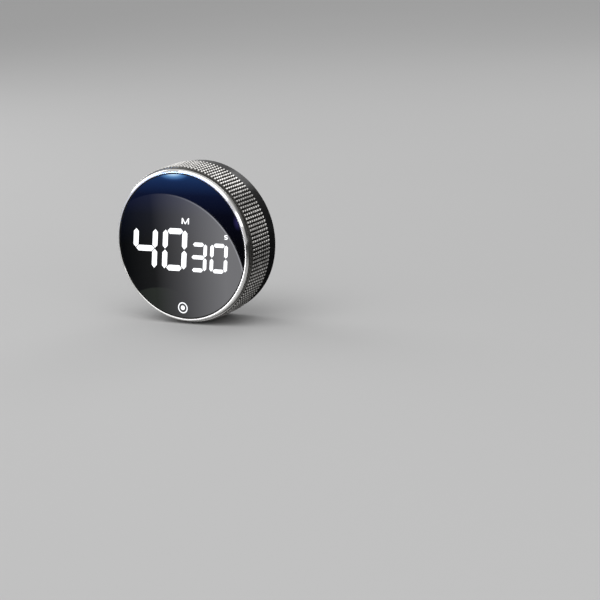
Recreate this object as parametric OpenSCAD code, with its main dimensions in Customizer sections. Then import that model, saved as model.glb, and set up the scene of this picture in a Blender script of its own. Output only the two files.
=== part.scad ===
// Kitchen countdown timer: a round digital display inside a knurled turning dial.
// Every module is drawn lying on its back with the face up, and stand() then puts it upright:
// +X is to the right of the face, +Z is up, the face looks along -Y and the back lies on Y = 0.

/* [Overall] */
// Diameter over the knurling of the dial
dial_d = 78; // [76:1:100]
// Depth from the back face to the front rim
depth = 26.8; // [26.4:0.2:34]

/* [Dial ring] */
// Wall of the metal ring, from its bore to the tips of the knurling
ring_wall = 2; // [1.8:0.1:2.6]
// Height of the knurling
knurl_h = 0.7; // [0.4:0.1:0.8]
// Distance from one knurl to the next
knurl_pitch = 1.97; // [1.5:0.01:3]
// Length of the smooth neck in front of the knurling
neck_l = 3.3; // [3:0.1:4.5]
// How far the neck sits below the tips of the knurling
neck_drop = 1.2; // [0.9:0.1:1.4]
// Width of the groove between neck and knurling
groove_w = 0.6; // [0.3:0.1:0.9]
// Depth of that groove
groove_h = 0.45; // [0.2:0.05:0.5]
// Width of the polished bevel at the front rim
bevel_w = 0.5; // [0.3:0.1:0.8]
// Width of the shoulder between the bevel and the neck
shoulder_w = 0.5; // [0.3:0.1:0.6]
// Length of that shoulder
shoulder_l = 1.1; // [0.6:0.1:1.4]

/* [Dial gear] */
// Module of the gear teeth
gear_module = 0.8; // [0.6:0.05:1]
// Number of teeth on the pinion
pinion_teeth = 14; // [12:1:16]
// Width of the gear teeth
gear_w = 3; // [2:0.1:3.4]
// Play between the flanks of the teeth
gear_play = 0.08; // [0.05:0.01:0.15]
// Wall of the gear carrier outside its teeth
carrier_wall = 2.4; // [2:0.1:3]
// Wall of the gear carrier's plain ring that turns on the hub
bearing_wall = 3.6; // [3:0.1:3.8]
// Radius of the pinion's shaft
shaft_r = 1.5; // [1:0.1:1.8]

/* [Lens and display] */
// Thickness of the front lens
lens_t = 1.6; // [1:0.1:2]
// How far the lens sits below the front rim
lens_recess = 0.25; // [0.1:0.05:0.6]
// Thickness of the tape behind the lens
tape_t = 0.15; // [0.1:0.05:0.3]
// Width of that tape
tape_w = 2; // [1:0.1:2.4]
// Thickness of the display frame's plate
plate_t = 1.2; // [1:0.1:1.6]
// Thickness of the diffuser film
film_t = 0.3; // [0.2:0.05:0.5]
// Height of the reflector block
reflector_h = 2.2; // [1.8:0.1:2.6]
// Height of the minute digits
minute_h = 21.2; // [16:0.1:23]
// Width of the minute digits
minute_w = 14; // [11:0.1:15]
// Width of the minute digits' strokes
minute_stroke = 2.85; // [2:0.05:3.6]
// Height of the second digits
second_h = 14.7; // [12:0.1:17]
// Width of the second digits
second_w = 9.9; // [8:0.1:10.5]
// Width of the second digits' strokes
second_stroke = 1.95; // [1.5:0.05:2.6]
// Height of the digits' lower edge above the centre of the face
digit_base = -12.4; // [-14:0.1:-11]
// Slant of the digits in degrees
digit_slant = 7.5; // [0:0.5:10]

/* [Housing] */
// How far the black base sits inside the tips of the knurling
base_step = 0.8; // [0.6:0.1:1.4]
// Height of the base above the back face
base_h = 7.2; // [6:0.1:9]
// Wall of the housing
wall = 1.6; // [1.2:0.1:1.7]
// Thickness of the housing's floor
floor_t = 1.6; // [1.5:0.1:2]
// Thickness of the soft pad on the back
pad_t = 0.8; // [0.5:0.1:1]

/* [Battery bay] */
// Diameter of a cell
cell_d = 10.5; // [8:0.1:10.8]
// Length of a cell with its button
cell_l = 44.5; // [36:0.1:44.5]
// Room for the contact springs beside a cell
spring_l = 3.7; // [3:0.1:3.7]
// Thickness of the bay's walls
bay_wall = 1.2; // [0.8:0.1:1.2]
// Thickness of the battery door
door_t = 1.6; // [1.2:0.1:1.6]

/* [Electronics] */
// Thickness of the circuit board
board_t = 1.2; // [0.8:0.1:1.6]
// Height of the rotary encoder
encoder_h = 2; // [1.8:0.1:2.4]
// Diameter of the magnets
magnet_d = 12; // [8:0.5:12]
// Thickness of the magnets
magnet_t = 2.5; // [1.5:0.1:3]
// Diameter of the buzzer
buzzer_d = 9; // [7:0.5:9.5]
// Radius of the screws
screw_r = 0.95; // [0.8:0.05:1]
// Travel of the volume switch to each side
switch_travel = 2; // [1:0.1:2]

/* [Clearances] */
// Gap between turning and fixed pieces
run_gap = 0.3; // [0.3:0.05:0.4]
// Radial play of a bearing
bearing_gap = 0.08; // [0.03:0.01:0.1]
// Gap that lets fixed pieces slip together
slip = 0.1; // [0.05:0.05:0.15]
// Gap round a screw or a hook in its hole
hole_gap = 0.15; // [0.1:0.05:0.2]

/* [Hidden] */
$fn = 96;
eps = 0.01;

// Radii of the turning dial
dial_r = dial_d / 2;
ring_bore_r = dial_r - ring_wall;
knurl_n = round(PI * dial_d / knurl_pitch);
knurl_tip = 0.3;
knurl_foot = 0.2;
neck_r = dial_r - neck_drop;
base_r = dial_r - base_step;
base_edge = 0.7;
hub_r = ring_bore_r - bearing_wall;
hub_in_r = hub_r - wall;

// Gear: the ring has a multiple of four teeth, so that a quarter turn brings the same mesh round
tooth_out = 1.25 * gear_module;
tooth_in = gear_module;
ring_teeth = 4 * floor((ring_bore_r - carrier_wall - tooth_out) / (2 * gear_module) + eps);
ring_pitch_r = ring_teeth * gear_module / 2;
pinion_pitch_r = pinion_teeth * gear_module / 2;
pinion_x = ring_pitch_r - pinion_pitch_r;
pressure_angle = 20;
tooth_root_r = ring_pitch_r + tooth_out;
carrier_in_r = tooth_root_r + 0.4;

// Heights above the back face, from the front rim down
rim_lip = 1.1;
lens_r = ring_bore_r - rim_lip;
lip_r = lens_r + run_gap;
lens_z1 = depth - lens_recess;
lens_z0 = lens_z1 - lens_t;
plate_z1 = lens_z0 - tape_t;
plate_z0 = plate_z1 - plate_t;
film_z0 = plate_z0 - film_t;
board_z1 = film_z0 - reflector_h;
board_z0 = board_z1 - board_t;
encoder_z0 = board_z0 - encoder_h;
gear_gap = 0.2;
gear_z1 = encoder_z0 - gear_gap;
gear_z0 = gear_z1 - gear_w;
hub_z1 = gear_z0 - run_gap;
carrier_z1 = plate_z0 - run_gap;

// Heights from the back face up
floor_z0 = pad_t;
floor_z1 = floor_z0 + floor_t;
ring_z0 = base_h + run_gap;
knurl_z1 = depth - neck_l;
door_z0 = slip;
door_z1 = door_z0 + door_t;
ledge_z0 = door_z1 + slip;

// Battery bay, three cells side by side along the height of the face
cell_gap = 0.4;
cell_play = 0.3;
cell_pitch = cell_d + cell_gap;
cell_z = door_z1 + cell_play + cell_d / 2;
plate_metal = 0.4;
button_r = 1.8;
button_l = 0.9;
bay_w = 3 * cell_pitch + cell_play;
bay_l = cell_l + spring_l + 2 * plate_metal;
bay_z1 = cell_z + cell_d / 2 + cell_play;
roof_z1 = bay_z1 + bay_wall;
door_side_lap = 1.1;
door_end_lap = 0.8;
door_w = bay_w + 2 * door_side_lap;
door_l = bay_l + 2 * door_end_lap;
door_corner = 2;
tab_w = 4;
tab_hook = 0.9;
tab_t = 0.7;
tab_z0 = ledge_z0 + 2 * slip;
tab_z1 = tab_z0 + tab_t;
tab_y = -door_l / 2 - tab_hook;
tab_l = 2.6;
latch_w = 9;
latch_t = 0.8;
latch_l = 2.2;
latch_y = bay_l / 2 - 0.4;
latch_top_t = 0.5;
latch_z1 = door_z1 + 1.6;
notch_l = latch_l + 4 * hole_gap;
notch_z1 = latch_z1 + 1.4;
grip_t = 0.8;
grip_depth = 0.4;
grip_pitch = 1.6;
grip_inset = 5;
contact_w = 8;
contact_z0 = door_z1 + 2;
link_h = 1.5;
spring_r = 2.8;
spring_wire = 0.5;
spring_turns = 3;
tail_w = 2;
tail_out = 0.5;

// Places of the small parts on the face
bay_side = bay_w / 2 + bay_wall;
screw_x = bay_side + 3.2;
screw_y = 19.5;
screw_head_r = 1.9;
screw_head_h = 1.5;
screw_seat_z = 12;
screw_bite = 0.3;
slot_l = 2.4;
slot_w = 0.5;
slot_h = 0.6;
post_r = 2.6;
boss_r = 2.4;
magnet_x = bay_side + magnet_d / 2 + 0.7;
cup_wall = 0.9;
buzzer_pos = [-bay_side - 6.7, 7];
buzzer_h = 4;
buzzer_hole_r = 1;
buzzer_hole_h = 0.8;
grille_pos = [-bay_side - 6.2, 11.8];
grille_hole_r = 0.7;
grille_ring_r = 2.1;
grille_holes = 5;
grille_rim = 0.6;
switch_y = bay_l / 2 + bay_wall + 2.9;
switch_w = 8.6;
switch_d = 3.6;
switch_h = 3.5;
switch_shell = 0.4;
switch_z0 = board_z0 - switch_h;
chip_w = 7;
chip_h = 1;
chip_y = -12;
touch_pos = [-1.5, -28.2];
touch_r = 2.4;
touch_wire = 0.5;
touch_turns = 5;
touch_rim = 0.6;
board_r = ring_pitch_r - 0.6;
skirt_r = board_r + 0.4;
skirt_wall = 1.8;
encoder_w = 9;
reflector_r = skirt_r - skirt_wall - 0.2;
reflector_y0 = digit_base - 1.6;
reflector_y1 = digit_base + minute_h + 6.4;
window_r = reflector_r - 0.6;
window_lap = 0.8;
tape_inset = 0.3;
lens_edge = 0.3;

// Digits: which of the seven strokes a to g are lit, and which stay dark
all_segments = "abcdefg";
four_on = "bcfg";
four_off = "ade";
zero_on = "abcdef";
zero_off = "g";
three_on = "abcdg";
three_off = "ef";
minute_x = [-20.9, -3.8];
second_x = [9.8, 21.6];
unit_pos = [[3.4, digit_base + minute_h + 3.8], [25.95, digit_base + second_h + 3.3]];
unit_size = [5.4, 3.8];
unit_shape = 0.8;
segment_gap = 0.55;
corner_share = 0.28;
fill_z0 = board_z1 + 1;
lamp_w = 1;
lamp_h = 0.6;

// Encoder shaft with its collar
shaft_z0 = gear_z0 + slip;
shaft_z1 = board_z0 - 0.4;
shaft_hole_h = encoder_h - 0.2;
collar_r = 2.6;
collar_h = 0.6;
collar_z0 = encoder_z0 + 0.5;

// Switch lever with its wiper, and the volume knob that carries it along
lever_w = 1.4;
lever_d = 1.2;
lever_z0 = switch_z0 - 2;
wiper_z0 = switch_z0 + 1.2;
wiper_w = lever_w + 1.2;
wiper_d = lever_d + 0.8;
wiper_h = 0.8;
prong_w = 0.9;
prong_z1 = switch_z0 - 0.4;
stem_w = lever_w + 2 * slip + 2 * prong_w;
stem_z1 = lever_z0 - slip;
knob_w = 3.2;
knob_d = 2.6;
knob_z0 = 0.3;
knob_rib_w = 0.6;
knob_rib_h = 0.4;
knob_rib_pitch = 1.1;
knob_travel_w = knob_w + 2 * switch_travel;
knob_plate_w = 10.4;
knob_plate_d = knob_d + 1;
knob_plate_z0 = floor_z1 + slip;
knob_plate_z1 = knob_plate_z0 + 0.8;

module stand() {
    rotate([90, 0, 0]) children();
}

module at(z) {
    translate([0, 0, z]) children();
}

module tube(r_out, r_in, z0, z1) {
    at(z0) difference() {
        cylinder(r = r_out, h = z1 - z0);
        at(-eps) cylinder(r = r_in, h = z1 - z0 + 2 * eps);
    }
}

module block(x, y, z0, z1) {
    translate([-x / 2, -y / 2, z0]) cube([x, y, z1 - z0]);
}

// A rectangle with round corners, made of straight bars and four cylinders
module round_block(x, y, r, z0, z1) {
    block(x - 2 * r, y, z0, z1);
    block(x, y - 2 * r, z0, z1);
    for (sx = [-1, 1], sy = [-1, 1])
        translate([sx * (x / 2 - r), sy * (y / 2 - r), z0]) cylinder(r = r, h = z1 - z0);
}

module at_screws() {
    for (sx = [-1, 1], sy = [-1, 1])
        translate([sx * screw_x, sy * screw_y, 0]) children();
}

function polar(r, a) = [r * cos(a), r * sin(a)];

// Involute angle in degrees of a flank at radius r over the base circle
function flank(r_base, r) = r <= r_base ? 0 :
    tan(acos(r_base / r)) * 180 / PI - acos(r_base / r);

// Outline of a gear with involute flanks; play widens or narrows its teeth at the pitch circle
module gear_outline(teeth, r_root, r_tip, play) {
    r_pitch = teeth * gear_module / 2;
    r_base = r_pitch * cos(pressure_angle);
    half = 90 / teeth + play / r_pitch * 90 / PI + flank(r_base, r_pitch);
    radii = [r_root, max(r_root, r_base) + eps, r_pitch, r_tip];
    polygon([for (i = [0:teeth - 1], side = [-1, 1], k = [0:3])
        let (r = radii[side < 0 ? k : 3 - k])
        polar(r, i * 360 / teeth + side * (half - flank(r_base, r)))]);
}

// A wire wound round the Z axis, from z0 to z1
module coil(r, wire, turns, z0, z1) {
    sides = 6;
    rings = 14 * turns;
    lift = (z1 - z0 - wire) / rings;
    points = [for (i = [0:rings], j = [0:sides - 1])
        let (a = 360 * turns * i / rings, b = 360 * j / sides, rr = r + wire / 2 * cos(b))
        [rr * cos(a), rr * sin(a), z0 + wire / 2 + lift * i + wire / 2 * sin(b)]];
    walls = [for (i = [0:rings - 1], j = [0:sides - 1])
        [i * sides + j, i * sides + (j + 1) % sides,
         (i + 1) * sides + (j + 1) % sides, (i + 1) * sides + j]];
    first = [for (j = [0:sides - 1]) sides - 1 - j];
    last = [for (j = [0:sides - 1]) rings * sides + j];
    polyhedron(points, concat(walls, [first], [last]));
}

// ---- Display digits ----

// Corners of a stroke with pointed ends round the point c, lying along X or standing along Y
function stroke_points(c, length, width, standing) =
    let (a = length / 2, b = length / 2 - width / 2, t = width / 2)
    [for (p = [[-a, 0], [-b, t], [b, t], [a, 0], [b, -t], [-b, -t]])
        standing ? [c.x + p.y, c.y + p.x] : c + p];

// Corners of one stroke of an upright digit w wide and h high, its lower left corner at the origin.
// The uprights run on by part of the stroke at the digit's corners, and its top and foot are shorter
function segment_points(name, w, h, s) =
    let (corner = corner_share * s, bar = w - s - segment_gap, foot = bar - 2 * corner,
         upright = (h - s) / 2 + corner - segment_gap, low = (h + s) / 4 - corner / 2, high = h - low)
    name == "a" ? stroke_points([w / 2, h - s / 2], foot, s, false) :
    name == "g" ? stroke_points([w / 2, h / 2], bar, s, false) :
    name == "d" ? stroke_points([w / 2, s / 2], foot, s, false) :
    name == "b" ? stroke_points([w - s / 2, high], upright, s, true) :
    name == "f" ? stroke_points([s / 2, high], upright, s, true) :
    name == "c" ? stroke_points([w - s / 2, low], upright, s, true) :
    stroke_points([s / 2, low], upright, s, true);

// The strokes named in on, slanted, with x where the digit's axis crosses the middle of the face
module digit_outline(x, w, h, s, on) {
    for (i = [0:len(on) - 1])
        polygon([for (p = segment_points(on[i], w, h, s))
            [x - w / 2 + p.x + (p.y + digit_base) * tan(digit_slant), p.y + digit_base]]);
}

module minute_outline(place, on) {
    digit_outline(minute_x[place], minute_w, minute_h, minute_stroke, on);
}

module second_outline(place, on) {
    digit_outline(second_x[place], second_w, second_h, second_stroke, on);
}

module lit_outlines() {
    minute_outline(0, four_on);
    minute_outline(1, zero_on);
    second_outline(0, three_on);
    second_outline(1, zero_on);
}

module dark_outlines() {
    minute_outline(0, four_off);
    minute_outline(1, zero_off);
    second_outline(0, three_off);
    second_outline(1, zero_off);
}

// The middle of each stroke of a digit, where its lamp sits
function lamp_points(x, w, h, s) = [for (i = [0:6])
    let (p = segment_points(all_segments[i], w, h, s), c = (p[0] + p[3]) / 2)
    [x - w / 2 + c.x + (c.y + digit_base) * tan(digit_slant), c.y + digit_base]];

module at_lamps() {
    for (x = minute_x, p = lamp_points(x, minute_w, minute_h, minute_stroke)) translate(p) children();
    for (x = second_x, p = lamp_points(x, second_w, second_h, second_stroke)) translate(p) children();
    for (p = unit_pos) translate(p) children();
}

// The blocks behind the unit marks of minutes and seconds
module unit_blocks(z0, z1) {
    for (i = [0:1]) translate(unit_pos[i]) block(unit_size[i], unit_size[i] * unit_shape, z0, z1);
}

// A disc cut straight along its lower and upper edges, smaller by margin at those edges
module reflector_body(r, margin, z0, z1) {
    intersection() {
        at(z0) cylinder(r = r, h = z1 - z0);
        translate([-r, reflector_y0 + margin, z0 - eps])
            cube([2 * r, reflector_y1 - reflector_y0 - 2 * margin, z1 - z0 + 2 * eps]);
    }
}

// ---- Turning dial ----

module knurled_ring() {
    tip_half = knurl_tip / dial_r * 90 / PI;
    root_r = dial_r - knurl_h;
    color("silver") stand() {
        rotate_extrude() polygon([
            [ring_bore_r, ring_z0], [root_r - eps, ring_z0], [root_r - eps, knurl_z1],
            [neck_r - groove_h, knurl_z1], [neck_r - groove_h, knurl_z1 + groove_w],
            [neck_r, knurl_z1 + groove_w], [neck_r, depth - bevel_w - shoulder_l],
            [neck_r - shoulder_w, depth - bevel_w], [neck_r - shoulder_w - bevel_w, depth],
            [lip_r, depth], [lip_r, carrier_z1], [ring_bore_r, carrier_z1]]);
        difference() {
            at(ring_z0) linear_extrude(knurl_z1 - ring_z0) polygon([for (i = [0:knurl_n - 1], k = [-1:1])
                let (a = i * 360 / knurl_n)
                k == 1 ? polar(root_r, a + 180 / knurl_n) : polar(dial_r, a + (2 * k + 1) * tip_half)]);
            at(ring_z0 - eps) cylinder(r = root_r - knurl_foot, h = depth);
        }
    }
}

module gear_carrier() {
    color("dimgray") stand() {
        tube(ring_bore_r, hub_r + bearing_gap, ring_z0, gear_z0);
        tube(ring_bore_r, carrier_in_r, gear_z1, carrier_z1);
        at(gear_z0) linear_extrude(gear_w) difference() {
            circle(r = ring_bore_r);
            gear_outline(ring_teeth, ring_pitch_r - tooth_in, tooth_root_r, gear_play);
        }
    }
}

module encoder_pinion() {
    color("ivory") stand() translate([pinion_x, 0, 0]) difference() {
        at(shaft_z0) linear_extrude(gear_w - 2 * slip)
            gear_outline(pinion_teeth, pinion_pitch_r - tooth_out, pinion_pitch_r + tooth_in, -gear_play);
        cylinder(r = shaft_r, h = depth);
    }
}

module encoder_shaft() {
    color("gray") stand() translate([pinion_x, 0, 0]) {
        at(shaft_z0) cylinder(r = shaft_r, h = shaft_z1 - shaft_z0);
        at(collar_z0) cylinder(r = collar_r, h = collar_h);
    }
}

// ---- Lens and display ----

module front_lens() {
    color([0.05, 0.05, 0.06, 0.6]) stand() rotate_extrude() polygon([
        [0, lens_z0], [lens_r, lens_z0], [lens_r, lens_z1 - lens_edge],
        [lens_r - lens_edge, lens_z1], [0, lens_z1]]);
}

module lens_tape() {
    tape_r = lens_r - tape_inset;
    color("black") stand() tube(tape_r, tape_r - tape_w, plate_z1, lens_z0);
}

module display_frame() {
    color([0.04, 0.04, 0.045]) stand() difference() {
        union() {
            at(plate_z0) cylinder(r = lens_r, h = plate_t);
            tube(skirt_r, skirt_r - skirt_wall, board_z1, plate_z0 + eps);
            at_screws() at(board_z1) cylinder(r = boss_r, h = plate_z0 - board_z1 + eps);
        }
        reflector_body(window_r, window_lap, plate_z0 - eps, plate_z1 + eps);
        translate(touch_pos) at(plate_z0 - eps) cylinder(r = touch_r + touch_rim, h = plate_t + 2 * eps);
        at_screws() at(board_z1 - eps) cylinder(r = screw_r, h = plate_z0 - board_z1 + screw_bite);
    }
}

module diffuser_film() {
    color("white", 0.7) stand() reflector_body(reflector_r, slip, film_z0, plate_z0);
}

module display_reflector() {
    color("whitesmoke") stand() difference() {
        reflector_body(reflector_r, 0, board_z1, film_z0);
        at(board_z1 - eps) linear_extrude(reflector_h + 2 * eps) {
            lit_outlines();
            dark_outlines();
        }
        unit_blocks(board_z1 - eps, film_z0 + eps);
    }
}

module lit_segments() {
    color("white") stand() {
        at(fill_z0) linear_extrude(film_z0 - fill_z0) lit_outlines();
        unit_blocks(fill_z0, film_z0);
    }
}

module dark_segments() {
    color("gainsboro") stand() at(fill_z0) linear_extrude(film_z0 - fill_z0) dark_outlines();
}

module led_chips() {
    color("khaki") stand() at_lamps() block(lamp_w, lamp_w, board_z1, board_z1 + lamp_h);
}

module touch_spring() {
    color("gold") stand() translate(touch_pos)
        coil(touch_r - touch_wire / 2, touch_wire, touch_turns, board_z1, lens_z0);
}

// ---- Electronics ----

module main_board() {
    color("darkgreen") stand() difference() {
        at(board_z0) cylinder(r = board_r, h = board_t);
        at_screws() at(board_z0 - eps) cylinder(r = screw_r + hole_gap, h = board_t + 2 * eps);
        at_tails() block(tail_w + 2 * slip, plate_metal + 2 * slip, board_z0 - eps, board_z1 + eps);
    }
}

module control_chip() {
    color([0.1, 0.1, 0.1]) stand() translate([0, chip_y, 0])
        block(chip_w, chip_w, board_z0 - chip_h, board_z0);
}

module encoder_case() {
    color("dimgray") stand() translate([pinion_x, 0, 0]) difference() {
        block(encoder_w, encoder_w, encoder_z0, board_z0);
        at(encoder_z0 - eps) cylinder(r = shaft_r + bearing_gap, h = shaft_hole_h);
        at(collar_z0 - slip) cylinder(r = collar_r + run_gap, h = collar_h + 2 * slip);
    }
}

module buzzer() {
    color([0.08, 0.08, 0.08]) stand() translate(buzzer_pos) difference() {
        at(board_z0 - buzzer_h) cylinder(d = buzzer_d, h = buzzer_h);
        at(board_z0 - buzzer_h - eps) cylinder(r = buzzer_hole_r, h = buzzer_hole_h);
    }
}

module switch_case() {
    inner = 2 * switch_shell;
    color("silver") stand() translate([0, switch_y, 0]) difference() {
        block(switch_w, switch_d, switch_z0, board_z0);
        block(switch_w - inner, switch_d - inner, switch_z0 + switch_shell, board_z0 - switch_shell);
        block(lever_w + 2 * switch_travel + 2 * hole_gap, lever_d + 2 * hole_gap,
            switch_z0 - eps, switch_z0 + inner);
    }
}

module switch_lever() {
    color("ivory") stand() translate([0, switch_y, 0]) {
        block(lever_w, lever_d, lever_z0, wiper_z0 + eps);
        block(wiper_w, wiper_d, wiper_z0, wiper_z0 + wiper_h);
    }
}

module volume_knob() {
    color([0.1, 0.1, 0.1]) stand() translate([0, switch_y, 0]) {
        for (k = [-1:1]) translate([k * knob_rib_pitch, 0, 0])
            block(knob_rib_w, knob_d, knob_z0, knob_z0 + knob_rib_h + eps);
        block(knob_w, knob_d, knob_z0 + knob_rib_h, knob_plate_z0 + eps);
        block(knob_plate_w, knob_plate_d, knob_plate_z0, knob_plate_z1);
        block(stem_w, lever_d, knob_plate_z1 - eps, stem_z1);
        for (s = [-1, 1])
            translate([s * (stem_w - prong_w) / 2, 0, 0]) block(prong_w, lever_d, stem_z1 - eps, prong_z1);
    }
}

// ---- Housing ----

module rear_housing() {
    color([0.06, 0.06, 0.065]) stand() difference() {
        union() {
            rotate_extrude() polygon([
                [0, floor_z0], [base_r - base_edge, floor_z0], [base_r, floor_z0 + base_edge],
                [base_r, base_h], [base_r - wall, base_h], [base_r - wall, floor_z1], [0, floor_z1]]);
            tube(hub_r, hub_in_r, floor_z0, hub_z1);
            block(bay_w + 2 * bay_wall, bay_l + 2 * bay_wall, floor_z0, roof_z1);
            at_screws() at(floor_z0) cylinder(r = post_r, h = board_z0 - floor_z0);
            for (s = [-1, 1]) translate([s * magnet_x, 0, floor_z0])
                cylinder(r = magnet_d / 2 + slip + cup_wall, h = magnet_t + cup_wall);
        }
        // the bay, the opening into it and the seat of the door
        block(bay_w, bay_l, ledge_z0, bay_z1);
        round_block(door_w + 2 * slip, door_l + 2 * slip, door_corner + slip, floor_z0 - eps, ledge_z0);
        // slots behind the seat for the door's hooked tabs
        at_tabs() block(tab_w + 4 * hole_gap, tab_l + 4 * hole_gap, ledge_z0 - eps, tab_z1 + 3 * hole_gap);
        // a notch for the latch finger
        translate([0, latch_y, 0]) block(latch_w + 4 * slip, notch_l, ledge_z0 - eps, notch_z1);
        at_screws() at(floor_z0 - eps)
            cylinder(r = screw_head_r + 2 * slip, h = screw_seat_z - floor_z0 + eps);
        at_screws() at(floor_z0) cylinder(r = screw_r + hole_gap, h = depth);
        for (s = [-1, 1]) translate([s * magnet_x, 0, floor_z0 - eps])
            cylinder(r = magnet_d / 2 + slip, h = magnet_t + eps);
        at_grille() at(floor_z0 - eps) cylinder(r = grille_hole_r, h = floor_t + 2 * eps);
        translate([0, switch_y, 0])
            block(knob_travel_w + 4 * slip, knob_d + 4 * slip, floor_z0 - eps, floor_z1 + eps);
        at_tails() block(tail_w + 4 * slip, plate_metal + 4 * slip, bay_z1 - eps, roof_z1 + eps);
    }
}

module at_tabs() {
    for (s = [-1, 1]) translate([s * cell_pitch / 2, tab_y + tab_l / 2, 0]) children();
}

module at_grille() {
    translate(grille_pos) children();
    for (i = [1:grille_holes])
        translate(grille_pos + polar(grille_ring_r, i * 360 / grille_holes)) children();
}

module back_pad() {
    color([0.12, 0.12, 0.13]) stand() difference() {
        cylinder(r = base_r - base_edge - slip, h = pad_t);
        round_block(door_w + 4 * slip, door_l + 4 * slip, door_corner + 2 * slip, -eps, pad_t + eps);
        translate([0, switch_y, 0])
            block(knob_travel_w + 12 * slip, knob_d + 12 * slip, -eps, pad_t + eps);
        translate(grille_pos) at(-eps)
            cylinder(r = grille_ring_r + grille_hole_r + grille_rim, h = pad_t + 2 * eps);
    }
}

module magnets() {
    color("silver") stand() for (s = [-1, 1])
        translate([s * magnet_x, 0, floor_z0]) cylinder(d = magnet_d, h = magnet_t);
}

module frame_screws() {
    color("silver") stand() at_screws() difference() {
        union() {
            at(screw_seat_z - screw_head_h) cylinder(r = screw_head_r, h = screw_head_h);
            at(screw_seat_z - eps) cylinder(r = screw_r, h = plate_z0 + screw_bite - screw_seat_z);
        }
        // a cross slot
        at(screw_seat_z - screw_head_h) {
            block(slot_l, slot_w, -eps, slot_h);
            block(slot_w, slot_l, -eps, slot_h);
        }
    }
}

// ---- Batteries and their contacts ----

// up is 1 where the cell's button is at the top of the face, -1 where it is at the bottom
module battery(place, up) {
    stand() translate([place * cell_pitch, up * spring_l / 2, cell_z]) rotate([-90 * up, 0, 0]) {
        at(-cell_l / 2) cylinder(d = cell_d, h = cell_l - button_l);
        at(cell_l / 2 - button_l - eps) cylinder(r = button_r, h = button_l + eps);
    }
}

module battery_left() {
    color("seagreen") battery(-1, 1);
}

module battery_middle() {
    color("seagreen") battery(0, -1);
}

module battery_right() {
    color("seagreen") battery(1, 1);
}

// Flat plates on the bay's end walls; end is 1 at the top of the face and -1 at the bottom
module contact_plate(place, end) {
    translate([place * cell_pitch, end * (bay_l - plate_metal) / 2, 0])
        block(contact_w, plate_metal, contact_z0, cell_z + contact_w / 2);
}

module contact_link(place, end) {
    translate([place * cell_pitch, end * (bay_l - plate_metal) / 2, 0])
        block(cell_pitch, plate_metal, cell_z + contact_w / 2 - link_h, cell_z + contact_w / 2);
}

module at_tails() {
    for (t = [[-1, 1], [1, -1]])
        translate([t.x * cell_pitch, t.y * (bay_l - plate_metal) / 2, 0]) children();
}

module battery_contacts() {
    color("gold") stand() {
        for (place = [-1:1], end = [-1, 1]) contact_plate(place, end);
        contact_link(-0.5, -1);
        contact_link(0.5, 1);
        at_tails() block(tail_w, plate_metal, cell_z, board_z1 + tail_out);
    }
}

module battery_springs() {
    color("silver") stand() for (place = [-1:1]) {
        up = place == 0 ? -1 : 1;
        translate([place * cell_pitch, -up * (bay_l / 2 - plate_metal), cell_z])
            rotate([-90 * up, 0, 0]) coil(spring_r, spring_wire, spring_turns, 0, spring_l);
    }
}

module battery_door() {
    color([0.09, 0.09, 0.095]) stand() difference() {
        union() {
            round_block(door_w, door_l, door_corner, door_z0, door_z1);
            // tabs that hook behind the lower edge of the opening
            at_tabs() {
                block(tab_w, tab_l, tab_z0, tab_z1);
                translate([0, (tab_l - tab_t) / 2, 0]) block(tab_w, tab_t, door_z1 - eps, tab_z0 + eps);
            }
            // the latch finger, a sprung loop along the upper edge
            translate([0, latch_y, 0]) difference() {
                block(latch_w, latch_l, door_z1 - eps, latch_z1);
                block(latch_w + 2 * eps, latch_l - 2 * latch_t, door_z1, latch_z1 - latch_top_t);
            }
        }
        // three grip grooves for the fingernail
        for (k = [0:2]) translate([0, door_l / 2 - grip_inset - grip_pitch * k, 0])
            block(latch_w, grip_t, door_z0 - eps, door_z0 + grip_depth);
    }
}

knurled_ring();
gear_carrier();
encoder_pinion();
encoder_shaft();
front_lens();
lens_tape();
display_frame();
diffuser_film();
display_reflector();
lit_segments();
dark_segments();
led_chips();
main_board();
control_chip();
touch_spring();
encoder_case();
buzzer();
switch_case();
switch_lever();
volume_knob();
rear_housing();
back_pad();
magnets();
battery_left();
battery_middle();
battery_right();
battery_contacts();
battery_springs();
battery_door();
frame_screws();
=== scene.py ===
"""The looks of a round kitchen timer: knurled dial, black glass with lit digits, magnetic base."""
import math

import bmesh
import bpy
from mathutils import Matrix, Vector


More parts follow.
